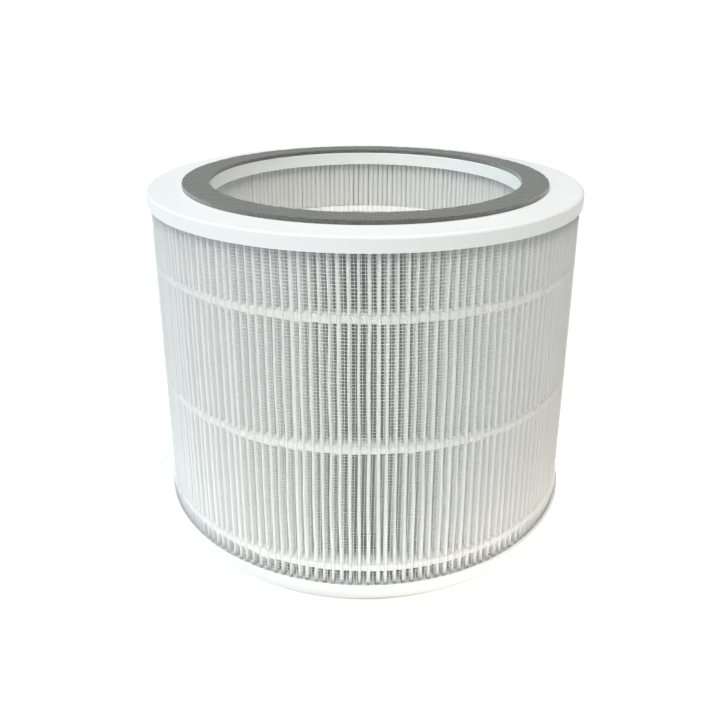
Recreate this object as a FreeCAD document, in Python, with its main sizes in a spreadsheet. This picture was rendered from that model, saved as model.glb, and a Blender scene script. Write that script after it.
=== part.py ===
"""Round pleated filter cartridge: two ring-shaped end caps, a pleated media wall potted into them,
glue beads that hold the pleats apart, a fine net round the outside and a foam sealing gasket on top.

Millimetres, +Z up. The origin is the centre of the underside of the bottom end cap, and bearings are
measured from +X towards +Y.
"""

import FreeCAD, Part
import math
import os
import Sketcher

# Driving dimensions: alias, value, meaning. Lengths are in millimetres and angles in degrees.
SIZES = (
    ("overall_height", 150.0, "height over the two end caps, without the gasket"),
    ("rim_radius", 96.5, "outside of the end caps"),
    ("bore_radius", 69.5, "hole through the end caps"),
    ("cap_height", 6.1, "height of an end cap, plate and skirts"),
    ("plate_thick", 1.6, "flat plate of an end cap"),
    ("skirt_wall", 1.2, "wall of the two skirts of an end cap"),
    ("rim_round", 1.0, "rounding of the outer edge of the plate"),
    ("bore_round", 0.4, "rounding of the bore edge of the plate"),
    ("lip_round", 0.3, "rounding of the free edges of the skirts"),
    ("gasket_inner", 69.9, "inside of the foam gasket"),
    ("gasket_outer", 81.7, "outside of the foam gasket"),
    ("gasket_thick", 1.8, "foam gasket, uncompressed"),
    ("tape_inset", 0.4, "how far the adhesive stays back from the edges of the foam"),
    ("tape_thick", 0.15, "adhesive film under the foam"),
    ("pleat_count", 168, "outer folds of the media, the seam counted as one"),
    ("tip_radius", 94.5, "outer face of the outer folds"),
    ("root_radius", 71.0, "bore-side face of the inner folds"),
    ("tip_width", 1.4, "width of an outer fold"),
    ("root_width", 1.0, "width of an inner fold"),
    ("media_thick", 0.4, "thickness of the media sheet"),
    ("media_inset", 0.5, "potting between the plate and the end of the media"),
    ("potting_depth", 3.4, "depth of the potting on the plate"),
    ("seam_gap", 1.3, "space between the two end walls of the media"),
    ("seam_depth", 4.5, "radial depth of the strip that joins the end walls"),
    ("seam_bearing", 129.5, "bearing of the media seam"),
    ("bead_height", 2.7, "height of a glue bead"),
    ("bead_depth", 8.0, "how far a bead reaches into the pleats"),
    ("bead_skin", 0.3, "thickness of a bead over the folds"),
    ("bead_low", 13.4, "height of the middle of the lowest beads"),
    ("bead_spacing", 52.7, "distance from one bead to the next"),
    ("net_outer", 95.2, "outside of the net sleeve"),
    ("net_thick", 0.35, "thickness of the net sleeve"),
    ("net_seam_bearing", 84.0, "bearing where the lap of the net begins"),
    ("net_seam_angle", 5.0, "angle that the lap of the net covers"),
)

BEAD_LEVELS = ("lower", "middle", "upper")
SHEET = "Sizes"

# The media, its seam and the net stand between the two plates, as formulas of the sheet's aliases.
MEDIA_BOTTOM = "{plate_thick} + {media_inset}"
MEDIA_HEIGHT = "{overall_height} - 2 * {plate_thick} - 2 * {media_inset}"


def make_sheet(doc):
    """Spreadsheet that holds the driving dimensions, one aliased cell each."""
    sheet = doc.addObject("Spreadsheet::Sheet", SHEET)
    for row, (alias, value, meaning) in enumerate(SIZES, start=1):
        sheet.set(f"A{row}", meaning)
        sheet.set(f"B{row}", str(value))
        sheet.setAlias(f"B{row}", alias)
    doc.recompute()
    return sheet


def bind(feature, prop, formula):
    """Bind a property to a formula of sheet aliases, each written as {alias}."""
    names = {alias: f"{SHEET}.{alias}" for alias, _, _ in SIZES}
    feature.setExpression(prop, formula.format(**names))


def polar(radius, bearing, offset=0.0, z=0.0):
    """Point at a radius and a bearing in radians, moved sideways by offset along the circle."""
    angle = bearing + offset / radius
    return FreeCAD.Vector(radius * math.cos(angle), radius * math.sin(angle), z)


# ---- bodies with sketches ----

def origin_plane(body, role):
    """One of a body's own origin planes, found by its role."""
    return next(plane for plane in body.Origin.OriginFeatures if plane.Role == role)


def new_body(doc, label):
    """Empty body with the sub-part's label."""
    body = doc.addObject("PartDesign::Body", label)
    body.Label = label
    return body


def new_sketch(body, name, role):
    """Sketch on one of the body's origin planes."""
    sketch = body.newObject("Sketcher::SketchObject", name)
    sketch.AttachmentSupport = [(origin_plane(body, role), "")]
    sketch.MapMode = "FlatFace"
    return sketch


def add_circle(sketch, radius, formula):
    """Circle about the origin, its radius bound to the sheet."""
    circle = Part.Circle(FreeCAD.Vector(), FreeCAD.Vector(0, 0, 1), radius)
    index = sketch.addGeometry(circle)
    sketch.addConstraint(Sketcher.Constraint("Coincident", index, 3, -1, 1))
    constraint = sketch.addConstraint(Sketcher.Constraint("Radius", index, radius))
    bind(sketch, f"Constraints[{constraint}]", formula)


def add_distance(sketch, direction, line, value, formula):
    """Distance from the sketch's origin to a line's first point, bound to the sheet."""
    constraint = Sketcher.Constraint("Distance" + direction, -1, 1, line, 1, value)
    index = sketch.addConstraint(constraint)
    bind(sketch, f"Constraints[{index}]", formula)


def ring_body(doc, label, inner, outer, height, bottom):
    """Flat ring between two circles; inner, outer, height and bottom are formulas."""
    body = new_body(doc, label)
    sketch = new_sketch(body, label + "_sketch", "XY_Plane")
    add_circle(sketch, 2.0, outer)
    add_circle(sketch, 1.0, inner)
    pad = body.newObject("PartDesign::Pad", label + "_pad")
    pad.Profile = sketch
    bind(pad, "Length", height)
    bind(body, "Placement.Base.z", bottom)
    return body


def cap_section(sketch, size):
    """U-shaped section of an end cap, with its plate at the bottom and its skirts upwards."""
    bore, rim = size["bore_radius"], size["rim_radius"]
    wall, plate, top = size["skirt_wall"], size["plate_thick"], size["cap_height"]
    corners = (
        (bore, 0.0), (rim, 0.0), (rim, top), (rim - wall, top),
        (rim - wall, plate), (bore + wall, plate), (bore + wall, top), (bore, top),
    )
    points = [FreeCAD.Vector(x, y, 0) for x, y in corners]
    for start, end in zip(points, points[1:] + points[:1]):
        sketch.addGeometry(Part.LineSegment(start, end))
    for line in range(len(points)):
        following = (line + 1) % len(points)
        sketch.addConstraint(Sketcher.Constraint("Coincident", line, 2, following, 1))
        direction = "Horizontal" if line % 2 == 0 else "Vertical"
        sketch.addConstraint(Sketcher.Constraint(direction, line))
    sketch.addConstraint(Sketcher.Constraint("PointOnObject", 0, 1, -1))
    add_distance(sketch, "X", 0, bore, "{bore_radius}")
    add_distance(sketch, "X", 1, rim, "{rim_radius}")
    add_distance(sketch, "X", 3, rim - wall, "{rim_radius} - {skirt_wall}")
    add_distance(sketch, "X", 5, bore + wall, "{bore_radius} + {skirt_wall}")
    add_distance(sketch, "Y", 2, top, "{cap_height}")
    add_distance(sketch, "Y", 4, plate, "{plate_thick}")
    add_distance(sketch, "Y", 6, top, "{cap_height}")


def circle_edges(shape, places):
    """Names of the circular edges at the given (radius, height) places of a revolved shape."""
    names = []
    for number, edge in enumerate(shape.Edges, start=1):
        if not isinstance(edge.Curve, Part.Circle):
            continue
        found = (edge.Curve.Radius, edge.Curve.Center.z)
        if any(math.dist(found, place) < 1e-4 for place in places):
            names.append(f"Edge{number}")
    return names


def add_fillet(doc, body, name, places, formula):
    """Round the circular edges at the given places of the body's last feature."""
    doc.recompute()
    base = body.Tip
    fillet = body.newObject("PartDesign::Fillet", name)
    fillet.Base = (base, circle_edges(base.Shape, places))
    bind(fillet, "Radius", formula)
    return fillet


def end_cap(doc, size, label):
    """Moulded ring with a U section: a plate with a skirt down its bore and one down its rim."""
    body = new_body(doc, label)
    sketch = new_sketch(body, label + "_section", "XZ_Plane")
    cap_section(sketch, size)
    turn = body.newObject("PartDesign::Revolution", label + "_turn")
    turn.Profile = sketch
    turn.ReferenceAxis = (sketch, ["V_Axis"])
    turn.Angle = 360.0
    bore, rim = size["bore_radius"], size["rim_radius"]
    wall, top = size["skirt_wall"], size["cap_height"]
    add_fillet(doc, body, label + "_rim_round", [(rim, 0.0)], "{rim_round}")
    add_fillet(doc, body, label + "_bore_round", [(bore, 0.0)], "{bore_round}")
    lips = [(radius, top) for radius in (bore, bore + wall, rim - wall, rim)]
    add_fillet(doc, body, label + "_lip_round", lips, "{lip_round}")
    return body


def top_end_cap(doc, size):
    """The same moulding as the bottom end cap, turned over."""
    body = end_cap(doc, size, "top_end_cap")
    over = FreeCAD.Rotation(FreeCAD.Vector(1, 0, 0), 180)
    body.Placement = FreeCAD.Placement(FreeCAD.Vector(0, 0, size["overall_height"]), over)
    bind(body, "Placement.Base.z", "{overall_height}")
    return body


def gasket_parts(doc):
    """Foam sealing ring on top of the cap and the adhesive film that holds it."""
    tape = ring_body(
        doc, "gasket_adhesive", "{gasket_inner} + {tape_inset}", "{gasket_outer} - {tape_inset}",
        "{tape_thick}", "{overall_height}")
    foam = ring_body(
        doc, "top_gasket", "{gasket_inner}", "{gasket_outer}",
        "{gasket_thick}", "{overall_height} + {tape_thick}")
    return [tape, foam]


# ---- pleated media ----

def fold_faces(size):
    """Corners of the sheet's outward face and of its bore-side face, from one cut end to the other.

    The sheet zigzags between tip_radius and root_radius with flat folds. The seam takes the place of
    one outer fold: there the sheet's two end walls stand seam_gap apart.
    """
    count = round(size["pleat_count"])
    pitch = 2 * math.pi / count
    start = math.radians(size["seam_bearing"])
    thick = size["media_thick"]
    tip, root = size["tip_radius"], size["root_radius"]
    half_tip, half_root = size["tip_width"] / 2, size["root_width"] / 2
    half_gap = size["seam_gap"] / 2
    outward = [polar(tip, start, half_gap + thick)]
    boreside = [polar(tip, start, half_gap)]
    for number in range(count):
        inner_fold = start + (number + 0.5) * pitch
        outer_fold = start + (number + 1) * pitch
        for side in (-1, 1):
            outward.append(polar(root + thick, inner_fold, side * (half_root - thick)))
            boreside.append(polar(root, inner_fold, side * half_root))
        if number == count - 1:
            break
        for side in (-1, 1):
            outward.append(polar(tip, outer_fold, side * half_tip))
            boreside.append(polar(tip - thick, outer_fold, side * (half_tip - thick)))
    outward.append(polar(tip, start, -half_gap - thick))
    boreside.append(polar(tip, start, -half_gap))
    return outward, boreside


def down_wall(size, top_corner, foot_corner):
    """Point on an end wall's bore side, seam_depth down from its outer edge."""
    run = foot_corner - top_corner
    return top_corner + run * (size["seam_depth"] / run.Length)


def polygon_face(corners):
    """Flat face inside a closed outline of straight edges."""
    return Part.Face(Part.Wire(Part.makePolygon(corners + corners[:1])))


def ring_face(inner, outer):
    """Flat face between two circles about the origin."""
    def disc(radius):
        return Part.Face(Part.Wire(Part.makeCircle(radius)))
    return disc(outer).cut(disc(inner))


def prism(doc, label, face, bottom, height):
    """Upright solid on a flat face; bottom and height are formulas."""
    profile = doc.addObject("Part::Feature", label + "_profile")
    profile.Shape = face
    solid = doc.addObject("Part::Extrusion", label)
    solid.Label = label
    solid.Base = profile
    solid.DirMode = "Custom"
    solid.Dir = FreeCAD.Vector(0, 0, 1)
    solid.Solid = True
    bind(solid, "LengthFwd", height)
    bind(solid, "Placement.Base.z", bottom)
    return solid


def seam_corners(size, boreside):
    """Feet of the seam strip: the points seam_depth down the two end walls, first wall first."""
    first = down_wall(size, boreside[0], boreside[1])
    last = down_wall(size, boreside[-1], boreside[-2])
    return first, last


def media_parts(doc, size):
    """Pleated sheet and the strip that joins its two end walls."""
    outward, boreside = fold_faces(size)
    first, last = seam_corners(size, boreside)
    sheet = polygon_face(outward + boreside[::-1])
    strip = polygon_face([boreside[0], boreside[-1], last, first])
    return [
        prism(doc, "pleated_media", sheet, MEDIA_BOTTOM, MEDIA_HEIGHT),
        prism(doc, "media_seam_strip", strip, MEDIA_BOTTOM, MEDIA_HEIGHT),
    ]


def cut(doc, label, base, tool):
    """Base less tool, labelled as a sub-part."""
    result = doc.addObject("Part::Cut", label)
    result.Label = label
    result.Base = base
    result.Tool = tool
    return result


def potting_parts(doc, media, strip):
    """Potting in the channel of each end cap, with the ends of the pleats standing in it."""
    ring = ring_body(
        doc, "potting_ring", "{bore_radius} + {skirt_wall}", "{net_outer} - {net_thick}",
        "{potting_depth}", "{plate_thick}")
    slotted = cut(doc, "potting_ring_slotted", ring, strip)
    bottom = cut(doc, "bottom_potting", slotted, media)
    top = doc.addObject("Part::Mirroring", "top_potting")
    top.Label = "top_potting"
    top.Source = bottom
    top.Normal = FreeCAD.Vector(0, 0, 1)
    bind(top, "Base.z", "{overall_height} / 2")
    return [bottom, top]


def bead_parts(doc, size):
    """Three beads round the outside and three round the bore, each filling the mouths of the pleats."""
    outward, boreside = fold_faces(size)
    first, last = seam_corners(size, boreside)
    tip, root = size["tip_radius"], size["root_radius"]
    depth, skin = size["bead_depth"], size["bead_skin"]
    enclosed = polygon_face(outward + [boreside[-1], boreside[0]])
    outer = ring_face(tip - depth, tip + skin).cut(enclosed)
    bore = polygon_face([first] + boreside[1:-1] + [last])
    inner = ring_face(root - skin, root + depth).common(bore)
    parts = []
    for step, level in enumerate(BEAD_LEVELS):
        bottom = f"{{bead_low}} + {step} * {{bead_spacing}} - {{bead_height}} / 2"
        parts.append(prism(doc, f"outer_bead_{level}", outer, bottom, "{bead_height}"))
        parts.append(prism(doc, f"inner_bead_{level}", inner, bottom, "{bead_height}"))
    return parts


# ---- net ----

def band_face(outer, inner, start, end):
    """Flat face of a curved band between two radii and two bearings, taken the anticlockwise way."""
    middle = (start + end) / 2
    corners = (polar(outer, start), polar(outer, end), polar(inner, end), polar(inner, start))
    edges = (
        Part.Arc(corners[0], polar(outer, middle), corners[1]).toShape(),
        Part.LineSegment(corners[1], corners[2]).toShape(),
        Part.Arc(corners[2], polar(inner, middle), corners[3]).toShape(),
        Part.LineSegment(corners[3], corners[0]).toShape(),
    )
    return Part.Face(Part.Wire(edges))


def net_parts(doc, size):
    """Net sleeve round the pleats and the bonded lap that closes it."""
    outer = size["net_outer"]
    inner = outer - size["net_thick"]
    start = math.radians(size["net_seam_bearing"])
    end = start + math.radians(size["net_seam_angle"])
    sleeve = band_face(outer, inner, end, start + 2 * math.pi)
    lap = band_face(outer, inner, start, end)
    return [
        prism(doc, "prefilter_net", sleeve, MEDIA_BOTTOM, MEDIA_HEIGHT),
        prism(doc, "net_seam_strip", lap, MEDIA_BOTTOM, MEDIA_HEIGHT),
    ]


# ---- document ----

def build(doc):
    """All sub-parts of the cartridge."""
    sheet = make_sheet(doc)
    size = {alias: float(sheet.get(alias)) for alias, _, _ in SIZES}
    parts = [end_cap(doc, size, "bottom_end_cap"), top_end_cap(doc, size)]
    parts += gasket_parts(doc)
    media, strip = media_parts(doc, size)
    parts += [media, strip]
    parts += potting_parts(doc, media, strip)
    parts += bead_parts(doc, size)
    parts += net_parts(doc, size)
    doc.recompute()
    return parts


def check(doc, parts):
    """Stop if any object failed to compute or a sub-part isn't one or more valid solids."""
    for item in doc.Objects:
        if "Invalid" in item.State or "Error" in item.State:
            raise RuntimeError(f"{item.Label} failed: {item.State}")
    for part in parts:
        shape = part.Shape
        if shape.isNull() or not shape.isValid() or not shape.Solids:
            raise RuntimeError(f"{part.Label} has no valid solid")


def main():
    """Build the document and write one STEP file for each sub-part."""
    doc = FreeCAD.newDocument("filter_cartridge")
    parts = build(doc)
    check(doc, parts)
    os.makedirs("parts", exist_ok=True)
    for part in parts:
        part.Shape.exportStep(f"parts/{part.Label}.step")
        box = part.Shape.BoundBox
        print(
            f"{part.Label}: {len(part.Shape.Solids)} solid, {part.Shape.Volume / 1000:.2f} cm3, "
            f"z {box.ZMin:.2f} to {box.ZMax:.2f}")


main()
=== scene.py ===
"""Looks of a round pleated filter cartridge: the folded media, its glue beads, the net sleeve and its
lap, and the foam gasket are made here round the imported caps, potting and adhesive.

Metres, +Z up, the origin at the centre of the bottom cap's underside. A flat point is often kept as
the complex number x + iy, so that a radius r at a bearing a is r * exp(ia).
"""

import math

import bpy
import numpy as np
from mathutils import Matrix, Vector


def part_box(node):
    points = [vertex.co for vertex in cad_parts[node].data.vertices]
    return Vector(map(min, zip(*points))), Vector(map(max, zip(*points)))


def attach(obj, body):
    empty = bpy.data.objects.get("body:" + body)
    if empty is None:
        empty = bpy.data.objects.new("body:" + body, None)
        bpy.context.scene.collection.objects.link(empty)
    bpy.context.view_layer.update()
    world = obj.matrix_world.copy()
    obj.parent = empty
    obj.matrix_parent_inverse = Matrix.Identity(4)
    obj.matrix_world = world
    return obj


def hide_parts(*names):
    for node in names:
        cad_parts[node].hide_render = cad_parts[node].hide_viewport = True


bl_info = {
    "name": "Pleated filter cartridge",
    "version": (1, 0, 0),
    "blender": (4, 5, 0),
    "location": "3D View > Sidebar > Cartridge",
    "description": "Makes the folded media, glue beads, net, gasket and finishes of a round filter",
    "category": "Object",
}

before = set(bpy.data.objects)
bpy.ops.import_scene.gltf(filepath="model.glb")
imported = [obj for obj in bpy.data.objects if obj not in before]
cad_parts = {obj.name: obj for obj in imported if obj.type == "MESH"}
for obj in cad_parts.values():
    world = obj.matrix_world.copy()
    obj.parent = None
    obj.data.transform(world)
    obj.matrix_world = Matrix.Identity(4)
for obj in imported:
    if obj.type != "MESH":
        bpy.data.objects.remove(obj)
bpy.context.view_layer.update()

BODY = "root"
MM = 0.001
LEVELS = ("lower", "middle", "upper")


# ---- sizes read from the frame ----

def radial_span(node):
    """Least and greatest distance of a CAD node's points from the axis."""
    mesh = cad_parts[node].data
    places = np.empty(len(mesh.vertices) * 3)
    mesh.vertices.foreach_get("co", places)
    radii = np.hypot(*places.reshape(-1, 3)[:, :2].T)
    return float(radii.min()), float(radii.max())


def level_span(node):
    """Lowest and highest height of a CAD node."""
    low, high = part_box(node)
    return low[2], high[2]


def bearing(node):
    """Bearing of the middle of a CAD node's box."""
    low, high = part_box(node)
    return math.atan2(low[1] + high[1], low[0] + high[0])


ROOT_RADIUS, TIP_RADIUS = radial_span("pleated_media")
NET_INNER, NET_OUTER = radial_span("prefilter_net")
GASKET_INNER, GASKET_OUTER = radial_span("top_gasket")
BORE_RADIUS, RIM_RADIUS = radial_span("top_end_cap")
MEDIA_LOW, MEDIA_HIGH = level_span("pleated_media")
BEAD_LOW, BEAD_TOP = level_span("outer_bead_lower")
BEAD_FOOT, BEAD_FACE = radial_span("outer_bead_lower")
BEAD_SPACING = level_span("outer_bead_middle")[0] - BEAD_LOW


# ---- settings ----

def length(name, default, about):
    """Length property in metres."""
    return bpy.props.FloatProperty(
        name=name, default=default, description=about, subtype="DISTANCE", unit="LENGTH", precision=5)


def number(name, default, about):
    """Plain number property."""
    return bpy.props.FloatProperty(name=name, default=default, description=about, precision=4)


def count(name, default, about):
    """Whole number property."""
    return bpy.props.IntProperty(name=name, default=default, description=about, min=1)


def angle(name, default, about):
    """Angle property in radians."""
    return bpy.props.FloatProperty(
        name=name, default=default, description=about, subtype="ANGLE", unit="ROTATION")


def colour(name, default, about):
    """Linear colour property."""
    return bpy.props.FloatVectorProperty(
        name=name, default=default, description=about, subtype="COLOR", size=3, min=0.0, max=1.0)


class MediaSettings(bpy.types.PropertyGroup):
    """Folded sheet."""

    folds: count("Folds", 168, "Outer folds round the cartridge, the seam counted as one")
    thickness: length("Thickness", 0.35 * MM, "Thickness of the sheet")
    tip_half: length("Outer half width", 0.57 * MM, "Half the width of an outer fold")
    root_half: length("Inner half width", 1.31 * MM, "Half the width of an inner fold")
    touch: length("Touch", 0.03 * MM, "Least half gap between two inner folds")
    crown: length("Crown", 0.5 * MM, "How far a fold's sides stand back from its crest")
    seam_half: length("Seam half gap", 0.65 * MM, "Half the gap between the two end walls")
    rows: count("Rows", 14, "Steps up the height of the sheet")
    stray: length("Stray", 0.17 * MM, "Typical sideways stray of one fold")
    sway: length("Sway", 0.55 * MM, "Typical sway of a group of neighbouring folds")
    inner_drift: number("Inner drift", 0.5, "Drift of the inner folds, as a share of the outer ones'")
    seed: count("Seed", 7, "Start of the random numbers of the folds")


class BeadSettings(bpy.types.PropertyGroup):
    """Glue beads."""

    skin: length("Skin", 0.28 * MM, "Glue over the crest of a fold")
    sag: length("Sag", 0.25 * MM, "How far the glue's face falls back between two folds")
    depth: length("Depth", BEAD_FACE - BEAD_FOOT, "How far the glue reaches into the folds")
    ragged: length("Ragged edge", 0.16 * MM, "Typical unevenness of a bead's edges")
    swell: length("Swell", 0.15 * MM, "How far the glue spreads past its laid height, above and below")
    drip: length("Drip", 0.9 * MM, "Length of a drip under a bead")
    seed: count("Seed", 21, "Start of the random numbers of the beads")


class NetSettings(bpy.types.PropertyGroup):
    """Net sleeve and its lap."""

    pitch: length("Pitch", 1.3 * MM, "Distance from one thread to the next")
    thread: length("Thread", 0.088 * MM, "Half the thickness of a thread")
    stray: length("Stray", 0.025 * MM, "How far a thread strays from its neighbours")
    pull: length("Pull", 0.5 * MM, "How far the whole net is pulled out of square")
    rows: count("Rows", 12, "Steps up the height of an upright thread")
    weld: length("Weld half width", 1.1 * MM, "Half the width of the weld line in the lap")
    lap_rows: count("Weld rows", 440, "Steps up the height of the weld line")
    seed: count("Seed", 33, "Start of the random numbers of the threads")


class GasketSettings(bpy.types.PropertyGroup):
    """Foam ring."""

    edge: length("Edge", 0.28 * MM, "Rounding of the foam's cut edges")
    cells: length("Cells", 0.075 * MM, "Unevenness of the foam's skin")
    seed: count("Seed", 5, "Start of the random numbers of the foam")


class FinishSettings(bpy.types.PropertyGroup):
    """Colours of the materials."""

    plastic: colour("Cap plastic", (0.85, 0.865, 0.865), "White moulded caps")
    media: colour("Media", (0.9, 0.903, 0.895), "White nonwoven")
    glue: colour("Glue", (0.93, 0.928, 0.91), "Milky hot melt")
    net: colour("Net", (0.84, 0.845, 0.845), "White thread")
    foam: colour("Foam", (0.117, 0.110, 0.095), "Grey foam")
    film: colour("Film", (0.72, 0.72, 0.68), "Adhesive film")
    media_glow: number("Media glow", 0.028, "Faint light given by the sheet")
    glue_glow: number("Glue glow", 0.018, "Faint light given by the glue")


class StageSettings(bpy.types.PropertyGroup):
    """Floor, light and camera."""

    floor: colour("Floor", (0.575, 0.56, 0.54), "Pale floor")
    glow: number("Glow", 1.6, "Light given by the floor under the cartridge, as on a light table")
    glow_far: number("Far glow", 0.24, "Share of that light given far from the cartridge")
    left_tint: colour("Left tint", (0.96, 0.99, 1.0), "Tint of the floor's light on the left")
    right_tint: colour("Right tint", (0.97, 0.92, 0.76), "Tint of the floor's light on the right")
    tint_slope: number("Tint slope", 5.0, "How fast the tint turns from left to right, per metre")
    glow_left: length("Glow offset left", 0.012, "How far left of the axis the floor's light is centred")
    glow_near: length("Glow offset near", 0.004, "How far in front of the axis it is centred")
    floor_half: length("Floor half width", 40.0, "Half the width of the floor")
    cool: colour("Cool side", (0.5, 0.86, 1.0), "Colour of the light from the left")
    warm: colour("Warm side", (1.0, 0.88, 0.6), "Colour of the light from the right")
    left: number("Left strength", 0.62, "Strength of the light from the left")
    right: number("Right strength", 0.02, "Strength of the light from the right")
    front: number("Front strength", 0.04, "Strength of the light from high in front")
    front_low: number("Low front strength", 2.0, "Strength of the light from low in front")
    lamp: number("Lamp strength", 3.7, "Strength of the soft overhead lamp")
    lamp_colour: colour("Lamp colour", (1.0, 0.965, 0.93), "Colour of the overhead lamp")
    lamp_width: angle("Lamp width", math.radians(55), "Angular width of the overhead lamp")
    lamp_tilt: angle("Lamp tilt", math.radians(16), "Tilt of the lamp from straight overhead")
    lamp_turn: angle("Lamp turn", math.radians(-24), "Bearing of the lamp, from the front to the left")
    eye_back: length("Camera distance", 0.3395, "Distance of the camera in front of the axis")
    eye_height: length("Camera height", 0.2192, "Height of the camera")
    eye_pitch: angle("Camera pitch", 0.3216, "How far the camera looks down")
    eye_roll: angle("Camera roll", 0.003, "Roll of the camera")
    lens: number("Lens", 37.57, "Focal length for a 36 mm sensor")
    shift_x: number("Shift across", -0.0065, "Lens shift across")
    shift_y: number("Shift up", -0.126, "Lens shift up")


class CartridgeSettings(bpy.types.PropertyGroup):
    """Everything that a user would change."""

    media: bpy.props.PointerProperty(type=MediaSettings)
    beads: bpy.props.PointerProperty(type=BeadSettings)
    net: bpy.props.PointerProperty(type=NetSettings)
    gasket: bpy.props.PointerProperty(type=GasketSettings)
    finish: bpy.props.PointerProperty(type=FinishSettings)
    stage: bpy.props.PointerProperty(type=StageSettings)


# ---- meshes from arrays ----

def grid_quads(rows, columns, wrap_rows=False, wrap_columns=False):
    """Corner numbers of a grid's quads: point (i, j) is number i * columns + j, and a wrapped
    direction joins its last line to its first."""
    i, j = np.meshgrid(
        np.arange(rows if wrap_rows else rows - 1),
        np.arange(columns if wrap_columns else columns - 1), indexing="ij")
    up, right = (i + 1) % rows, (j + 1) % columns
    corners = (i * columns + j, i * columns + right, up * columns + right, up * columns + j)
    return np.stack(corners, axis=-1).reshape(-1, 4)


def rim_quads(rows, columns):
    """Quads over the first and last row of a wrapped grid whose second half of columns runs back
    behind the first."""
    out = np.arange(columns // 2 - 1)
    back = columns - 1 - out
    rim = np.stack([out, out + 1, back - 1, back], axis=-1)
    return np.concatenate([rim[:, ::-1], rim + (rows - 1) * columns])


def new_piece(name, places, quads, replaced=()):
    """Mesh object from an array of points and one of quads, riding on the body."""
    places = np.asarray(places, dtype=np.float32).reshape(-1, 3)
    quads = np.asarray(quads, dtype=np.int32)
    mesh = bpy.data.meshes.new(name)
    mesh.vertices.add(len(places))
    mesh.vertices.foreach_set("co", places.ravel())
    mesh.loops.add(quads.size)
    mesh.loops.foreach_set("vertex_index", quads.ravel())
    mesh.polygons.add(len(quads))
    mesh.polygons.foreach_set("loop_start", np.arange(0, quads.size, 4, dtype=np.int32))
    mesh.polygons.foreach_set("use_smooth", np.full(len(quads), True))
    mesh.update(calc_edges=True)
    mesh.validate()
    piece = bpy.data.objects.new(name, mesh)
    bpy.context.scene.collection.objects.link(piece)
    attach(piece, BODY)
    if replaced:
        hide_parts(*replaced)
    return piece


def stand(flat, heights):
    """Points of three coordinates from flat complex points and their heights."""
    flat, heights = np.broadcast_arrays(flat, heights)
    return np.stack([flat.real, flat.imag, heights], axis=-1)


def smooth_round(values, reach):
    """Values on a ring, averaged with a bell of the given reach and scaled back to unit spread."""
    steps = np.arange(len(values))
    gap = np.minimum(steps, len(values) - steps)
    bell = np.exp(-0.5 * (gap / reach) ** 2)
    spectrum = np.fft.rfft(values) * np.fft.rfft(bell)
    mixed = np.fft.irfft(spectrum, len(values))
    return mixed / mixed.std()


# ---- folded sheet ----

def bead_heights():
    """Heights of the middles of the three beads."""
    return (BEAD_LOW + BEAD_TOP) / 2 + BEAD_SPACING * np.arange(len(LEVELS))


def fold_drift(media, heights, offset):
    """Sideways drift of each fold at each height: a stray of its own, a lean and bow of its own, and
    a sway that neighbours share. The bow is sin squared between the beads, which hold it at nothing,
    and all of it fades out at the seam."""
    rng = np.random.default_rng(media.seed + offset)
    folds = media.folds
    stray, lean, bow = rng.standard_normal((3, folds, 1)) * media.stray
    shared = [smooth_round(rng.standard_normal(folds), reach)[:, None] for reach in (7.0, 4.0)]
    slope = (heights - (MEDIA_LOW + MEDIA_HIGH) / 2) / (MEDIA_HIGH - MEDIA_LOW) * 2
    arch = np.sin(np.pi * (heights - bead_heights()[0]) / BEAD_SPACING) ** 2
    drift = stray + lean * 0.6 * slope + bow * arch
    drift = drift + media.sway * (shared[0] * 0.7 * slope + shared[1] * 0.35 * arch)
    steps = np.arange(folds) + offset / 2
    from_seam = np.minimum(steps, folds - steps)[:, None]
    return drift * np.clip((from_seam - 0.9) / 3.0, 0.0, 1.0)


def fold_lines(media, heights):
    """Middles of the folds as flat points: bearings of the outer and inner folds at each height, and
    half widths and crest radii that vary a little from fold to fold."""
    folds = media.folds
    pitch = 2 * np.pi / folds
    start = bearing("media_seam_strip")
    steps = np.arange(folds)[:, None]
    inner_drift = media.inner_drift * fold_drift(media, heights, 1)
    outer = start + steps * pitch + fold_drift(media, heights, 0) / TIP_RADIUS
    inner = start + (steps + 0.5) * pitch + inner_drift / ROOT_RADIUS
    rng = np.random.default_rng(media.seed + 100)
    vary = rng.standard_normal((4, folds, 1))
    clear = np.diff(inner, axis=0, append=inner[:1] + 2 * np.pi) * ROOT_RADIUS / 2 - media.touch
    room = np.stack([np.roll(clear, 1, axis=0), clear], axis=-1)
    wished = media.root_half * (1 + 0.08 * np.clip(vary[1], -2, 2))
    outer_half = media.tip_half * (1 + 0.12 * np.clip(vary[0], -2, 2))
    return {
        "outer": outer,
        "inner": inner,
        "outer_half": np.broadcast_to(outer_half[..., None], (*outer.shape, 2)),
        "inner_half": np.minimum(wished[..., None], room),
        "outer_crest": TIP_RADIUS - 0.07 * MM * np.abs(vary[2]),
        "inner_crest": ROOT_RADIUS + 0.16 * MM * np.abs(vary[3]),
    }


def fold_section(media, middle, half, crest, side):
    """Six points across each fold: sideways places -1 to 1 of its half widths on the left and right,
    standing back from the crest by up to the crown. Side is 1 for an outer fold and -1 for an inner."""
    across = np.array([-1.0, -0.82, -0.36, 0.36, 0.82, 1.0])
    back = np.array([1.0, 0.36, 0.04, 0.04, 0.36, 1.0])
    skin = media.thickness / 2
    radius = crest[..., None] - side * (skin + media.crown * back)
    sideways = across * (np.repeat(half, 3, axis=-1) - skin)
    return radius * np.exp(1j * (middle[..., None] + sideways / radius))


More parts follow.
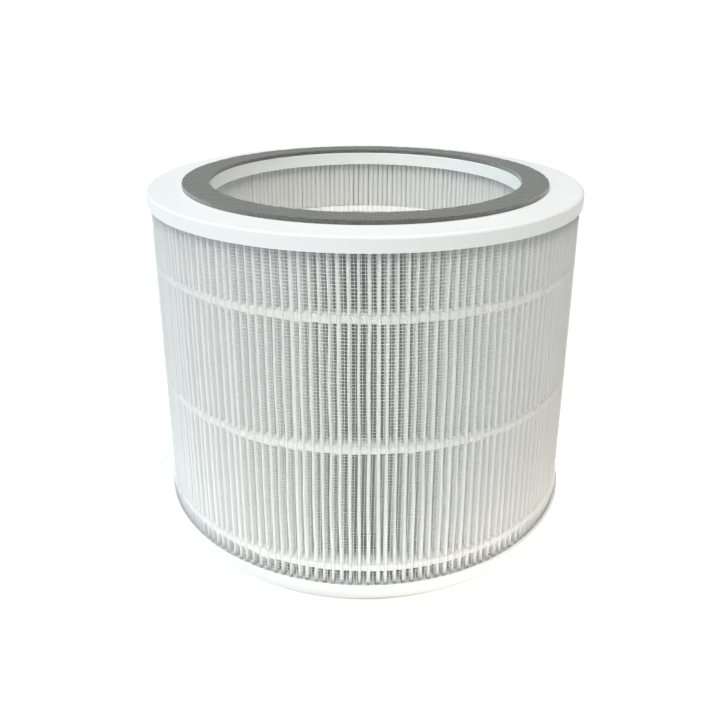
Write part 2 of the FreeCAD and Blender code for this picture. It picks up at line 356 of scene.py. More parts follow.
def fold_sections(media, heights):
    """Centre line of the sheet at every fold, as (fold, height, point) arrays. The first outer fold
    is the seam: it keeps only its two sides, the ends of the sheet, at the full radius."""
    lines = fold_lines(media, heights)
    outer = fold_section(media, lines["outer"], lines["outer_half"], lines["outer_crest"], 1)
    inner = fold_section(media, lines["inner"], lines["inner_half"], lines["inner_crest"], -1)
    skin = media.thickness / 2
    ends = np.array([-1.0, 1.0]) * (media.seam_half + skin) / TIP_RADIUS
    seam = TIP_RADIUS * np.exp(1j * (lines["outer"][0][:, None] + ends))
    outer[0, :, 0], outer[0, :, -1] = seam[:, 0], seam[:, 1]
    return outer, inner


def wall_points(top, foot, bulge):
    """Two points of a wall between two fold sides, a third of the way from each, pushed sideways."""
    run = foot - top
    aside = 1j * run / np.abs(run) * bulge
    return np.stack([top + run / 3 + aside, top + run * 2 / 3 + aside], axis=-1)


def sheet_line(media, heights):
    """Centre line of the whole sheet at each height, as a (point, height) array of flat points. Each
    fold adds a wall down, its inner fold, a wall up and the next outer fold. The two walls of one
    outer fold bulge the same way, so they stay clear of each other."""
    outer, inner = fold_sections(media, heights)
    following = np.roll(outer, -1, axis=0)
    rng = np.random.default_rng(media.seed + 200)
    bulges = rng.standard_normal((media.folds, 1)) * media.stray
    arch = np.sin(np.pi * (heights - bead_heights()[0]) / BEAD_SPACING) ** 2
    down = wall_points(outer[..., -1], inner[..., 0], -bulges * arch)
    up = wall_points(inner[..., -1], following[..., 0], np.roll(bulges, -1, axis=0) * arch)
    blocks = np.concatenate([down, inner, up, following], axis=-1)
    line = np.moveaxis(blocks, 1, 2).reshape(-1, len(heights))
    last_fold = following.shape[-1]
    first = outer[0, :, -1][None]
    last = outer[0, :, 0][None]
    return np.concatenate([first, line[:-last_fold], last])


def sheet_faces(media, line):
    """Outward and bore-side faces of the sheet: its centre line moved half its thickness each way
    along the flat normal, which is the tangent turned clockwise."""
    tangent = np.gradient(line, axis=0)
    normal = -1j * tangent / np.abs(tangent)
    return line + normal * media.thickness / 2, line - normal * media.thickness / 2


def make_media(media):
    """Folded sheet as one closed shell: out along its outward face, back along its bore side, and a
    strip of quads over its top and its bottom edge."""
    heights = np.linspace(MEDIA_LOW, MEDIA_HIGH, media.rows + 1)
    line = sheet_line(media, heights)
    outward, boreside = sheet_faces(media, line)
    loop = np.concatenate([outward, boreside[::-1]]).T
    rows, columns = loop.shape
    places = stand(loop, heights[:, None])
    walls = grid_quads(rows, columns, wrap_columns=True)
    quads = np.concatenate([walls, rim_quads(rows, columns)])
    piece = new_piece("folded_media", places, quads, ["pleated_media"])
    middle = (TIP_RADIUS + ROOT_RADIUS) / 2
    radii = np.abs(loop)
    crest = (radii - middle) / (TIP_RADIUS - middle)
    mark = piece.data.attributes.new("crest", "FLOAT", "POINT")
    mark.data.foreach_set("value", crest.astype(np.float32).ravel())
    return piece


# ---- glue beads ----

def comb_lines(media, level, side):
    """Pockets and lands that a bead crosses at its level. Side 1 takes the pockets that open outwards
    and -1 those that open to the bore. Gives the tops and feet of each pocket's left and right wall."""
    outer, inner = fold_sections(media, np.array([level]))
    outer_left, outer_right = outer[:, 0, 0], outer[:, 0, -1]
    inner_left, inner_right = inner[:, 0, 0], inner[:, 0, -1]
    if side > 0:
        return outer_right, np.roll(outer_left, -1), inner_left, inner_right
    return (
        inner_right, np.roll(inner_left, -1), np.roll(outer_left, -1), np.roll(outer_right, -1))


def ragged(rng, columns, reach):
    """Unevenness round a bead: a broad wave and a finer one, of about unit spread."""
    waves = [smooth_round(rng.standard_normal(columns), step) for step in (reach * 6, reach)]
    return 0.6 * waves[0] + 0.8 * waves[1]


def drips(bead, rng, columns, number_of_drips):
    """Downward bulges of a bead's lower edge, bells about a pocket wide at random places."""
    steps = np.arange(columns)
    places = rng.integers(0, columns, number_of_drips)
    lengths = bead.drip * rng.uniform(0.4, 1.0, number_of_drips)
    gap = np.abs(steps[:, None] - places)
    gap = np.minimum(gap, columns - gap)
    return (lengths * np.exp(-0.5 * (gap / 3.0) ** 2)).sum(axis=1)


def make_bead(media, bead, level_number, side):
    """One bead: a closed section carried round the ring. Six sections are set for each pocket: on the
    pocket's edge, down its left wall, down its middle, down its right wall, on its other edge and on
    the crest of the next fold. The first, fifth and sixth are only as deep as the glue's skin."""
    level = bead_heights()[level_number]
    top_left, top_right, foot_left, foot_right = comb_lines(media, level, side)
    face = BEAD_FACE if side > 0 else ROOT_RADIUS - bead.skin
    rng = np.random.default_rng(bead.seed + level_number + 10 * (side > 0))
    land = (top_right + np.roll(top_left, -1)) / 2
    pockets = len(top_left)
    depth = np.array([0.02, 1.0, 1.0, 1.0, 0.02, 0.02])
    sag = np.array([0.0, 0.55, 1.0, 0.55, 0.0, -0.15]) * bead.sag

    # Share of the depth and height from the middle, out of half the height, of each section point.
    share = np.array([0.0, 0.0, 0.0, 0.035, 0.45, 1.0, 1.0, 0.45, 0.035])
    rise = np.array([-0.72, 0.0, 0.72, 1.0, 1.08, 1.12, -1.0, -1.0, -1.0])
    bulge = np.array([0.0, 0.09, 0.0, 0.0, 0.0, 0.0, 0.0, 0.0, 0.0]) * MM

    top_middle, foot_middle = (top_left + top_right) / 2, (foot_left + foot_right) / 2
    tops = np.stack([top_left, top_left, top_middle, top_right, top_right, land], axis=-1)
    feet = np.stack([foot_left, foot_left, foot_middle, foot_right, foot_right, land], axis=-1)
    runs = feet - tops
    runs[:, [0, 4, 5]] = -side * tops[:, [0, 4, 5]]
    runs = runs / np.abs(runs)
    outward = tops / np.abs(tops)
    base = outward * (face - side * sag)
    slant = side * (face - side * sag - np.abs(tops))
    reach = (depth * bead.depth)[None, :, None] * share
    flat = base[..., None] + runs[..., None] * reach + side * outward[..., None] * bulge
    flat = flat - side * outward[..., None] * np.clip(slant, 0, None)[..., None] * (share > 0.4)

    columns = pockets * len(depth)
    half = (BEAD_TOP - BEAD_LOW) / 2 + bead.swell
    calm = 1.0 if side > 0 else 0.2
    upper = ragged(rng, columns, 2.0) * bead.ragged * calm
    lower = ragged(rng, columns, 2.0) * bead.ragged * calm - drips(bead, rng, columns, 7) * calm
    edge = np.where(rise > 0.5, upper[:, None], np.where(rise < -0.5, lower[:, None], 0.0))
    heights = level + rise * half + edge
    flat = flat.reshape(columns, len(share))
    places = stand(flat, heights)
    quads = grid_quads(columns, len(share), wrap_rows=True, wrap_columns=True)
    if side > 0:
        quads = quads[:, ::-1]
    where = "outer" if side > 0 else "inner"
    node = f"{where}_bead_{LEVELS[level_number]}"
    return new_piece(f"{where}_glue_{LEVELS[level_number]}", places, quads, [node])


# ---- net ----

def net_span():
    """Bearings where the net begins and ends: all round, less the lap."""
    low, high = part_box("net_seam_strip")
    corners = [complex(x, y) for x in (low[0], high[0]) for y in (low[1], high[1])]
    middle = bearing("net_seam_strip")
    turns = np.angle(np.array(corners) * np.exp(-1j * middle))
    half = float(np.abs(turns).max())
    return middle + half, middle - half + 2 * np.pi


def thread_bundle(name, flat, heights, turned=False, ring=False, replaced=()):
    """Many threads as one mesh: each is a square section, its last axis, carried along its length,
    the middle axis, with its two ends closed, or joined to each other on a ring."""
    places = stand(flat, heights)
    amount, steps = places.shape[:2]
    quads = grid_quads(steps, 4, wrap_rows=ring, wrap_columns=True)
    if not ring:
        ends = np.array([[3, 2, 1, 0], np.arange(4) + (steps - 1) * 4])
        quads = np.concatenate([quads, ends])
    if turned:
        quads = quads[:, ::-1]
    starts = np.arange(amount)[:, None, None] * steps * 4
    return new_piece(name, places, (quads + starts).reshape(-1, 4), replaced)


def make_uprights(net, rng, name, first, last, replaced=()):
    """Upright threads between two bearings, strayed sideways by two slow waves of their own and by
    the pull that they share, a sine round the ring times a sine up the height."""
    amount = round((last - first) * NET_OUTER / net.pitch)
    heights = np.linspace(MEDIA_LOW, MEDIA_HIGH, net.rows + 1)
    base = np.linspace(first, last, amount)[:, None]
    phase = rng.uniform(0, 2 * np.pi, (2, amount, 1))
    climb = (heights - MEDIA_LOW) / (MEDIA_HIGH - MEDIA_LOW) * 2 * np.pi
    stray = net.stray * (np.sin(climb + phase[0]) + 0.6 * np.sin(2.3 * climb + phase[1]))
    stray = stray + net.pull * np.sin(3 * base) * np.sin(0.8 * climb + base)
    centre = NET_OUTER - net.thread
    corner = net.thread * np.exp(0.5j * np.pi * np.arange(4))
    radius = centre + corner.real
    turn = (base + stray / centre)[..., None] + corner.imag / radius
    return thread_bundle(name, radius * np.exp(1j * turn), heights[:, None], replaced=replaced)


def make_hoops(net, rng, name, first, last, steps, shift=0.0):
    """Hoops between two bearings, or whole rings, straight from step to step, strayed in height by two
    slow waves of their own and by the shared pull, which fades out at the caps."""
    ring = last - first > 2 * np.pi - 1e-6
    bearings = np.linspace(first, last, steps, endpoint=not ring)
    amount = round((MEDIA_HIGH - MEDIA_LOW) / net.pitch) - 1
    levels = np.linspace(MEDIA_LOW, MEDIA_HIGH, amount + 2)[1:-1, None] + shift
    phase = rng.uniform(0, 2 * np.pi, (2, amount, 1))
    stray = net.stray * (np.sin(3 * bearings + phase[0]) + 0.6 * np.sin(7 * bearings + phase[1]))
    inside = np.sin(np.pi * (levels - MEDIA_LOW) / (MEDIA_HIGH - MEDIA_LOW))
    stray = stray + net.pull * inside * (np.sin(2 * bearings + 0.4) + 0.4 * np.sin(5 * bearings))
    corner = net.thread * np.exp(0.5j * np.pi * np.arange(4))
    radius = NET_INNER + net.thread + corner.real
    flat = radius * np.exp(1j * bearings)[:, None]
    heights = (levels + stray)[..., None] + corner.imag
    return thread_bundle(name, flat, heights, turned=True, ring=ring)


def make_lap(net):
    """Weld line down the middle of the net's lap: a closed band whose edges stray a little, dimpled
    by the crushed threads as the product of a cosine up the height and one across."""
    first, last = net_span()
    middle = (first + last) / 2 - np.pi
    across = np.linspace(-1, 1, 13)
    heights = np.linspace(MEDIA_LOW, MEDIA_HIGH, net.lap_rows + 1)[:, None]
    climb = (heights - MEDIA_LOW) / net.pitch
    wander = 0.12 * MM * (np.sin(0.31 * climb) + np.sin(0.83 * climb + 1.3))
    half = net.weld + 0.08 * MM * np.sin(2.1 * climb)
    bearings = middle + (wander + half * across) / NET_OUTER
    dimple = np.cos(2 * np.pi * climb) * np.cos(3 * np.pi * across)
    outer = NET_OUTER - (0.05 + 0.05 * dimple + 0.12 * across ** 8) * MM
    inner = np.full_like(outer, NET_INNER)
    radius = np.concatenate([outer, inner[:, ::-1]], axis=1)
    turn = np.concatenate([bearings, bearings[:, ::-1]], axis=1)
    flat = radius * np.exp(1j * turn)
    rows, columns = flat.shape
    places = stand(flat, heights)
    walls = grid_quads(rows, columns, wrap_columns=True)
    quads = np.concatenate([walls, rim_quads(rows, columns)])
    return new_piece("net_weld", places, quads, ["net_seam_strip"])


# ---- gasket ----

def make_gasket(gasket):
    """Foam ring: a rectangle with rounded corners carried round, its skin pushed in and out by
    smoothed noise."""
    low, high = level_span("top_gasket")
    corner = np.linspace(0, np.pi / 2, 4)
    edge = gasket.edge
    centres = (
        (GASKET_OUTER - edge, low + edge, -np.pi / 2), (GASKET_OUTER - edge, high - edge, 0.0),
        (GASKET_INNER + edge, high - edge, np.pi / 2), (GASKET_INNER + edge, low + edge, np.pi))
    arcs = [
        complex(radius, height) + edge * np.exp(1j * (start + corner))
        for radius, height, start in centres]
    top = np.linspace(arcs[1][-1], arcs[2][0], 16)[1:-1]
    side = np.linspace(arcs[0][-1], arcs[1][0], 4)[1:-1]
    bore = np.linspace(arcs[2][-1], arcs[3][0], 4)[1:-1]
    section = np.concatenate([arcs[0], side, arcs[1], top, arcs[2], bore, arcs[3]])
    turns = 960
    rng = np.random.default_rng(gasket.seed)
    noise = rng.standard_normal((turns, len(section)))
    spectrum = np.fft.fft2(noise)
    across = np.fft.fftfreq(turns)[:, None] ** 2 + np.fft.fftfreq(len(section)) ** 2
    noise = np.fft.ifft2(spectrum * np.exp(-across * 40)).real
    noise = noise / noise.std()
    normal = -1j * np.gradient(section)
    normal = normal / np.abs(normal)
    free = np.clip((section.imag - low) / edge - 1, 0, 1)
    depth = gasket.cells * (np.clip(noise, -2.2, 0.8) - 0.8) * free
    shape = section + normal * depth
    bearings = np.linspace(0, 2 * np.pi, turns, endpoint=False)[:, None]
    places = stand(shape.real * np.exp(1j * bearings), shape.imag)
    quads = grid_quads(turns, len(section), wrap_rows=True, wrap_columns=True)
    piece = new_piece("foam_gasket", places, quads[:, ::-1], ["top_gasket"])
    return piece


# ---- material nodes ----

class Wire:
    """A node's output that can be added, multiplied and so on, each time with a Math node."""

    def __init__(self, board, socket):
        self.board = board
        self.socket = socket

    def sum_of(self, operation, first, second):
        """Math node of two values or wires."""
        return self.board.node("ShaderNodeMath", {"operation": operation}, {0: first, 1: second})

    def __add__(self, other):
        return self.sum_of("ADD", self, other)

    def __radd__(self, other):
        return self.sum_of("ADD", other, self)

    def __sub__(self, other):
        return self.sum_of("SUBTRACT", self, other)

    def __rsub__(self, other):
        return self.sum_of("SUBTRACT", other, self)

    def __mul__(self, other):
        return self.sum_of("MULTIPLY", self, other)

    def __rmul__(self, other):
        return self.sum_of("MULTIPLY", other, self)


class Board:
    """The node tree of a material or a world, emptied."""

    def __init__(self, owner):
        self.owner = owner
        owner.use_nodes = True
        self.tree = owner.node_tree
        self.tree.nodes.clear()

    def put(self, socket, value):
        """Link a wire to a socket, or set the socket's own value."""
        if isinstance(value, Wire):
            self.tree.links.new(value.socket, socket)
        elif hasattr(value, "__len__") and socket.type == "RGBA" and len(value) == 3:
            socket.default_value = (*value, 1.0)
        else:
            socket.default_value = value

    def node(self, kind, settings=None, values=None, output=0):
        """Any node: its settings are set first, then its sockets, and one output, if any, comes back."""
        made = self.tree.nodes.new(kind)
        for name, value in (settings or {}).items():
            if name == "stops":
                for place, _ in value[1:-1]:
                    made.color_ramp.elements.new(place)
                for element, (place, shade) in zip(made.color_ramp.elements, value):
                    element.position = place
                    element.color = (shade, shade, shade, 1.0)
            else:
                setattr(made, name, value)
        for key, value in (values or {}).items():
            self.put(made.inputs[key], value)
        return Wire(self, made.outputs[output]) if made.outputs else None

    def coordinates(self):
        """Object coordinates."""
        return self.node("ShaderNodeTexCoord", output="Object")

    def distance(self, place):
        """Distance from the cartridge's axis."""
        level = (1.0, 1.0, 0.0)
        flat = self.node("ShaderNodeVectorMath", {"operation": "MULTIPLY"}, {0: place, 1: level})
        return self.node("ShaderNodeVectorMath", {"operation": "LENGTH"}, {0: flat}, "Value")

    def stretched(self, scale):
        """Object coordinates with a scale along each axis."""
        return self.node("ShaderNodeMapping", {}, {"Vector": self.coordinates(), "Scale": scale})

    def noise(self, vector, scale, detail, roughness=0.5):
        """Noise value from 0 to 1."""
        values = {"Vector": vector, "Scale": scale, "Detail": detail, "Roughness": roughness}
        return self.node("ShaderNodeTexNoise", {}, values)

    def cells(self, vector, scale):
        """Distance to the nearest cell centre."""
        return self.node("ShaderNodeTexVoronoi", {}, {"Vector": vector, "Scale": scale})

    def ramp(self, value, low, high):
        """Value spread from low..high to 0..1 and clipped."""
        settings = {"stops": ((low, 0.0), (high, 1.0))}
        return self.node("ShaderNodeValToRGB", settings, {"Fac": value})

    def mix(self, factor, first, second):
        """Colour between two colours."""
        settings = {"data_type": "RGBA"}
        return self.node("ShaderNodeMix", settings, {0: factor, 6: first, 7: second}, output=2)

    def bump(self, height, distance, strength):
        """Normal from a height of 0 to 1 over a distance in metres."""
        values = {"Height": height, "Distance": distance, "Strength": strength}
        return self.node("ShaderNodeBump", {}, values)

    def shade(self, **values):
        """Principled shader, its sockets named with underscores for spaces, and the output."""
        sockets = {name.replace("_", " "): value for name, value in values.items()}
        shader = self.node("ShaderNodeBsdfPrincipled", {}, sockets)
        self.node("ShaderNodeOutputMaterial", {}, {"Surface": shader})
        return self.owner


def material_board(name):
    """Board of a new material."""
    return Board(bpy.data.materials.new(name))


def shaded(base, factor):
    """A colour times a number."""
    return tuple(channel * factor for channel in base)


def cap_plastic(finish):
    """White moulded plastic: a fine spark-eroded grain, faint flow clouds and a soft gloss. Painted
    shade makes it a little darker at the rounded rim and outer skirt, to damp the rim's highlight,
    and painted light makes it lighter round the bore, on the inner skirt."""
    board = material_board("cap_plastic")
    place = board.coordinates()
    clouds = board.noise(place, 28.0, 3.0)
    grain = board.noise(place, 2600.0, 2.0, 0.6)
    radius = board.distance(place)
    # Masks of painted shade on the rounded rim and outer skirt, and of painted light round the bore, on
    # the inner skirt.
    rim_painted_shade = board.ramp(radius, RIM_RADIUS - 1.5 * MM, RIM_RADIUS - 0.8 * MM)
    bore_painted_light = 1.0 - board.ramp(radius, BORE_RADIUS + 0.4 * MM, BORE_RADIUS + 1.1 * MM)
    cloudy = board.mix(board.ramp(clouds, 0.35, 0.7), shaded(finish.plastic, 0.975), finish.plastic)
    # Painted shade at the rim, then painted light round the bore.
    rim = board.mix(rim_painted_shade, cloudy, shaded(finish.plastic, 0.93))
    base = board.mix(bore_painted_light, rim, shaded(finish.plastic, 1.1))
    return board.shade(
        Base_Color=base, Roughness=0.34 + 0.12 * clouds, IOR=1.49,
        Normal=board.bump(grain, 0.02 * MM, 0.35))


def media_fibre(finish):
    """White nonwoven: cloudy felt, fine crossed fibres, and crests pressed smoother and whiter. Painted
    shade darkens the sheet towards its inner folds, deep in the outward pockets and on the bore side.
    The faint glow stands for light scattered deep in the folds."""
    board = material_board("media_fibre")
    place = board.coordinates()
    clouds = board.noise(place, 160.0, 4.0, 0.6)
    fibres = board.noise(board.stretched((900.0, 900.0, 5200.0)), 1.0, 3.0, 0.7)
    strands = board.noise(board.stretched((5200.0, 5200.0, 900.0)), 1.0, 3.0, 0.7)
    crest = board.node("ShaderNodeAttribute", {"attribute_name": "crest"}, output="Fac")
    pressed = board.ramp(crest, 0.9, 1.0)
    # Painted shade mask: full at the inner folds, fading out short of the middle of the walls.
    boreside = board.ramp(0.0 - crest, 0.3, 0.9)
    felt = board.mix(board.ramp(clouds, 0.3, 0.75), shaded(finish.media, 0.955), finish.media)
    thread = board.mix(board.ramp(fibres, 0.35, 0.7), shaded(finish.media, 0.93), felt)
    folded = board.mix(pressed, thread, finish.media)
    # Painted shade: towards the inner folds the sheet is 0.72 times as bright.
    base = board.mix(boreside, folded, shaded(finish.media, 0.72))
    relief = board.bump(fibres + strands, 0.05 * MM, 0.5)
    return board.shade(
        Base_Color=base, Roughness=0.95 - 0.2 * pressed, Normal=relief,
        Emission_Color=finish.media, Emission_Strength=finish.media_glow)


def hot_melt(finish):
    """Milky hot melt: smooth, a little glossy, with soft ripples and cloudy thicker places.
    The faint glow stands for light that the glue passes on."""
    board = material_board("hot_melt")
    place = board.coordinates()
    clouds = board.noise(place, 220.0, 2.0)
    ripples = board.noise(board.stretched((1.0, 1.0, 2.5)), 420.0, 2.0)
    base = board.mix(clouds, shaded(finish.glue, 0.96), finish.glue)
    return board.shade(
        Base_Color=base, Roughness=0.32 + 0.2 * clouds, IOR=1.48,
        Normal=board.bump(ripples, 0.12 * MM, 0.3),
        Emission_Color=finish.glue, Emission_Strength=finish.glue_glow)


def net_thread(finish):
    """White polyester thread: satin, with the fine twist of its filaments."""
    board = material_board("net_thread")
    place = board.coordinates()
    clouds = board.noise(place, 60.0, 2.0)
    twist = board.noise(place, 5200.0, 2.0, 0.6)
    base = board.mix(clouds, shaded(finish.net, 0.96), finish.net)
    return board.shade(
        Base_Color=base, Roughness=0.5 + 0.2 * twist, Normal=board.bump(twist, 0.02 * MM, 0.5))


def foam_skin(finish):
    """Grey foam: open cells of two sizes with dark bottoms, light cell edges and broad patches. Its
    wall round the bore is painted twice as light, painted light against the shade that falls there."""
    board = material_board("foam_skin")
    place = board.coordinates()
    small = board.ramp(board.cells(place, 2100.0), 0.25, 0.6)
    large = board.ramp(board.cells(place, 950.0), 0.2, 0.65)
    patches = board.ramp(board.noise(place, 110.0, 3.0, 0.6), 0.3, 0.7)
    speck = board.ramp(board.noise(place, 1000.0, 3.0, 0.7), 0.38, 0.62)
    walls = board.mix(speck, shaded(finish.foam, 0.5), shaded(finish.foam, 1.6))
    rim = board.mix(small, shaded(finish.foam, 0.7), walls)
    cells = board.mix(large * 0.55, rim, shaded(finish.foam, 1.5))
    skin = board.mix(patches * 0.4, cells, shaded(finish.foam, 1.1))
    # Painted light on the foam's wall round the bore; past it the foam keeps its own colour.
    past_bore_painted_light = board.ramp(board.distance(place), GASKET_INNER + 0.1 * MM, GASKET_INNER + 0.4 * MM)
    base = board.mix(past_bore_painted_light, shaded(finish.foam, 2.0), skin)
    relief = board.bump(small + large + speck, 0.12 * MM, 0.7)
    return board.shade(Base_Color=base, Roughness=0.93, Normal=relief, Sheen_Weight=0.8)


def adhesive_film(finish):
    """Thin adhesive film with a faint paper-like mottle."""
    board = material_board("adhesive_film")
    mottle = board.noise(board.coordinates(), 700.0, 3.0)
    base = board.mix(mottle, shaded(finish.film, 0.9), finish.film)
    return board.shade(Base_Color=base, Roughness=0.55, Normal=board.bump(mottle, 0.02 * MM, 0.5))


def potting_glue(finish):
    """Poured potting: levelled, glossy, with soft pools and a few tiny bubbles."""
    board = material_board("potting_glue")
    place = board.coordinates()
    pools = board.noise(place, 70.0, 2.0)
    bubbles = board.ramp(board.cells(place, 420.0), 0.02, 0.12)
    base = board.mix(pools, shaded(finish.glue, 0.93), finish.glue)
    relief = board.bump(bubbles + 0.5 * pools, 0.1 * MM, 0.35)
    return board.shade(Base_Color=base, Roughness=0.25 + 0.15 * pools, Normal=relief)


def dress(piece, material):
    """Give a piece one material all over."""
    piece.data.materials.clear()
    piece.data.materials.append(material)


def dress_node(node, material):
    """Give a CAD node one material through its object's slots."""
    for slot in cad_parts[node].material_slots:
        slot.link = "OBJECT"
        slot.material = material


# ---- operators ----

class CARTRIDGE_OT_caps(bpy.types.Operator):
    """Finish the two end caps."""

    bl_idname = "cartridge.caps"
    bl_label = "End caps"

    def execute(self, context):
        plastic = cap_plastic(context.scene.cartridge.finish)
        for node in ("bottom_end_cap", "top_end_cap"):
            dress_node(node, plastic)
        return {"FINISHED"}


class CARTRIDGE_OT_potting(bpy.types.Operator):
    """Finish the potting, the seam strip and the adhesive film."""

    bl_idname = "cartridge.potting"
    bl_label = "Potting and adhesives"

    def execute(self, context):
        finish = context.scene.cartridge.finish
        potting = potting_glue(finish)
        for node in ("bottom_potting", "top_potting"):
            dress_node(node, potting)
        dress_node("media_seam_strip", hot_melt(finish))
        dress_node("gasket_adhesive", adhesive_film(finish))
        return {"FINISHED"}


class CARTRIDGE_OT_media(bpy.types.Operator):
    """Fold the media."""

    bl_idname = "cartridge.media"
    bl_label = "Folded media"

    def execute(self, context):
        settings = context.scene.cartridge
        dress(make_media(settings.media), media_fibre(settings.finish))
        return {"FINISHED"}


class CARTRIDGE_OT_beads(bpy.types.Operator):
    """Lay the six glue beads."""

    bl_idname = "cartridge.beads"
    bl_label = "Glue beads"

    def execute(self, context):
        settings = context.scene.cartridge
        glue = hot_melt(settings.finish)
        for level in range(len(LEVELS)):
            for side in (1, -1):
                dress(make_bead(settings.media, settings.beads, level, side), glue)
        return {"FINISHED"}


class CARTRIDGE_OT_net(bpy.types.Operator):
    """Wrap the net and bond its lap."""

    bl_idname = "cartridge.net"
    bl_label = "Net sleeve"

    def execute(self, context):
        settings = context.scene.cartridge
        rng = np.random.default_rng(settings.net.seed)
        thread = net_thread(settings.finish)
        net, (first, last) = settings.net, net_span()
        lap_first, lap_last = last - 2 * np.pi, first
        folds = settings.media.folds
        pieces = (
            make_uprights(net, rng, "net_uprights", first, last, ["prefilter_net"]),
            make_hoops(net, rng, "net_hoops", lap_first, last, folds),
            make_uprights(net, rng, "net_lap_uprights", lap_first, lap_last),
            make_hoops(net, rng, "net_lap_hoops", lap_first, lap_last, 7, net.pitch / 2),
            make_lap(net),
        )
        for piece in pieces:
            dress(piece, thread)
        return {"FINISHED"}


class CARTRIDGE_OT_gasket(bpy.types.Operator):
    """Cut the foam gasket."""

    bl_idname = "cartridge.gasket"
    bl_label = "Foam gasket"

    def execute(self, context):
        settings = context.scene.cartridge
        dress(make_gasket(settings.gasket), foam_skin(settings.finish))
        return {"FINISHED"}


def glow_stops(stage):
    """Strength of the floor's light by distance from the axis: even under the bore, nearly out under
    the folds, bright just outside the rim, then falling away to its far strength."""
    return (
        (0.0, 1.8), (0.069, 1.8), (0.092, 0.05), (0.114, 1.3), (0.145, 0.5), (0.2, 0.34),
        (0.28, stage.glow_far))


def make_floor(stage):
    """Wide pale floor that the cartridge stands on. It gives light too, tinted near the cartridge."""
    half = stage.floor_half
    mesh = bpy.data.meshes.new("floor")
    corners = [(-half, -half, 0), (half, -half, 0), (half, half, 0), (-half, half, 0)]
    mesh.from_pydata(corners, [], [(0, 1, 2, 3)])
    floor = bpy.data.objects.new("floor", mesh)
    bpy.context.scene.collection.objects.link(floor)
    board = material_board("floor")
    grain = board.noise(board.coordinates(), 40.0, 3.0)
    base = board.mix(grain, shaded(stage.floor, 0.995), tuple(stage.floor))
    shift = (stage.glow_left, stage.glow_near, 0.0)
    aside = board.node("ShaderNodeMapping", {}, {"Vector": board.coordinates(), "Location": shift})
    distance = board.node("ShaderNodeVectorMath", {"operation": "LENGTH"}, {0: aside}, "Value")
    strength = board.node("ShaderNodeValToRGB", {"stops": glow_stops(stage)}, {"Fac": distance})
    across = board.node("ShaderNodeSeparateXYZ", {}, {0: board.coordinates()}, "X")
    tint = board.mix(0.5 + stage.tint_slope * across, tuple(stage.left_tint), tuple(stage.right_tint))
    near = board.mix(board.ramp(distance, 0.18, 0.26), tint, (1.0, 1.0, 1.0))
    blend = {"data_type": "RGBA", "blend_type": "MULTIPLY"}
    glow = board.node("ShaderNodeMix", blend, {0: 1.0, 6: strength, 7: near}, 2)
    finished = board.shade(
        Base_Color=base, Roughness=0.8, Emission_Color=glow, Emission_Strength=stage.glow)
    dress(floor, finished)


def make_world(stage):
    """Soft light from all round, told apart by its direction: cool and strong on the left, warm and
    faint on the right, and faint high in front. Low in front on the left is a strong cool strip. The
    camera sees the studio itself as white."""
    world = bpy.data.worlds.new("studio")
    bpy.context.scene.world = world
    board = Board(world)
    way = board.node("ShaderNodeTexCoord", output="Generated")
    across = board.node("ShaderNodeSeparateXYZ", {}, {0: way}, "X")
    ahead = board.node("ShaderNodeSeparateXYZ", {}, {0: way}, "Y")
    above = board.node("ShaderNodeSeparateXYZ", {}, {0: way}, "Z")
    cool, warm = shaded(stage.cool, stage.left), shaded(stage.warm, stage.right)
    to_right = board.ramp(0.5 + 0.5 * across, 0.12, 0.6)
    sides = board.mix(to_right, cool, warm)
    low = board.mix(to_right, shaded(stage.cool, stage.front_low), (stage.front,) * 3)
    front = board.mix(board.ramp(above, 0.12, 0.35), low, (stage.front,) * 3)
    around = board.mix(board.ramp(0.5 + 0.5 * ahead, 0.05, 0.4), front, sides)
    light = board.node("ShaderNodeBackground", {}, {"Color": around})
    seen = board.node("ShaderNodeBackground", {}, {"Color": (1.0, 1.0, 1.0)})
    looking = board.node("ShaderNodeLightPath", output="Is Camera Ray")
    choice = board.node("ShaderNodeMixShader", {}, {0: looking, 1: light, 2: seen})
    board.node("ShaderNodeOutputWorld", {}, {"Surface": choice})


def make_lamp(stage):
    """Wide overhead lamp, leaning to the front left."""
    lamp = bpy.data.objects.new("overhead", bpy.data.lights.new("overhead", "SUN"))
    lamp.data.energy = stage.lamp
    lamp.data.color = stage.lamp_colour
    lamp.data.angle = stage.lamp_width
    lamp.rotation_euler = (stage.lamp_tilt, 0.0, stage.lamp_turn)
    bpy.context.scene.collection.objects.link(lamp)


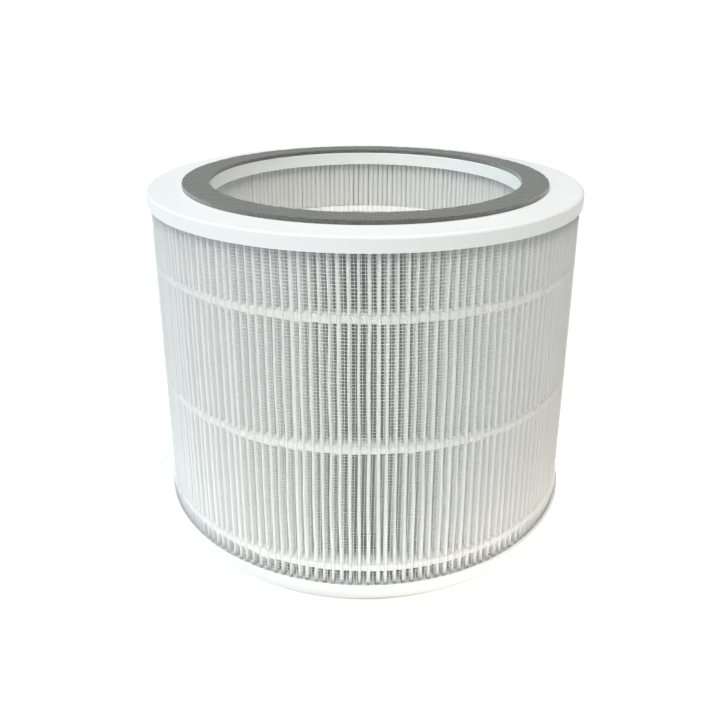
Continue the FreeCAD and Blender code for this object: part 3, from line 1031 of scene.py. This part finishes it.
def make_camera(stage):
    """Camera in front of the cartridge, above it and looking down."""
    camera = bpy.data.objects.new("camera", bpy.data.cameras.new("camera"))
    camera.data.sensor_width = 36.0
    camera.data.lens = stage.lens
    camera.data.shift_x = stage.shift_x
    camera.data.shift_y = stage.shift_y
    camera.data.clip_start = 0.01
    place = Matrix.Translation((0.0, -stage.eye_back, stage.eye_height))
    tilt = Matrix.Rotation(math.pi / 2 - stage.eye_pitch, 4, "X")
    roll = Matrix.Rotation(stage.eye_roll, 4, "Z")
    camera.matrix_world = place @ (tilt @ roll)
    bpy.context.scene.collection.objects.link(camera)
    bpy.context.scene.camera = camera


class CARTRIDGE_OT_stage(bpy.types.Operator):
    """Set the floor, the light and the camera."""

    bl_idname = "cartridge.stage"
    bl_label = "Stage"

    def execute(self, context):
        stage = context.scene.cartridge.stage
        make_floor(stage)
        make_world(stage)
        make_lamp(stage)
        make_camera(stage)
        context.scene.view_settings.view_transform = "Standard"
        return {"FINISHED"}


# ---- panel and registration ----

STEPS = (
    CARTRIDGE_OT_caps, CARTRIDGE_OT_potting, CARTRIDGE_OT_media, CARTRIDGE_OT_beads,
    CARTRIDGE_OT_net, CARTRIDGE_OT_gasket, CARTRIDGE_OT_stage,
)


class CARTRIDGE_PT_steps(bpy.types.Panel):
    """The steps that make the cartridge."""

    bl_idname = "CARTRIDGE_PT_steps"
    bl_label = "Filter cartridge"
    bl_space_type = "VIEW_3D"
    bl_region_type = "UI"
    bl_category = "Cartridge"

    def draw(self, context):
        for step in STEPS:
            self.layout.operator(step.bl_idname)


CLASSES = (
    MediaSettings, BeadSettings, NetSettings, GasketSettings, FinishSettings, StageSettings,
    CartridgeSettings, *STEPS, CARTRIDGE_PT_steps,
)


def register():
    for item in CLASSES:
        bpy.utils.register_class(item)
    bpy.types.Scene.cartridge = bpy.props.PointerProperty(type=CartridgeSettings)


def unregister():
    del bpy.types.Scene.cartridge
    for item in reversed(CLASSES):
        bpy.utils.unregister_class(item)


def main():
    """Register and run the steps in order."""
    register()
    for step in STEPS:
        group, name = step.bl_idname.split(".")
        getattr(getattr(bpy.ops, group), name)()
    bpy.context.view_layer.update()


if __name__ == "__main__":
    main()
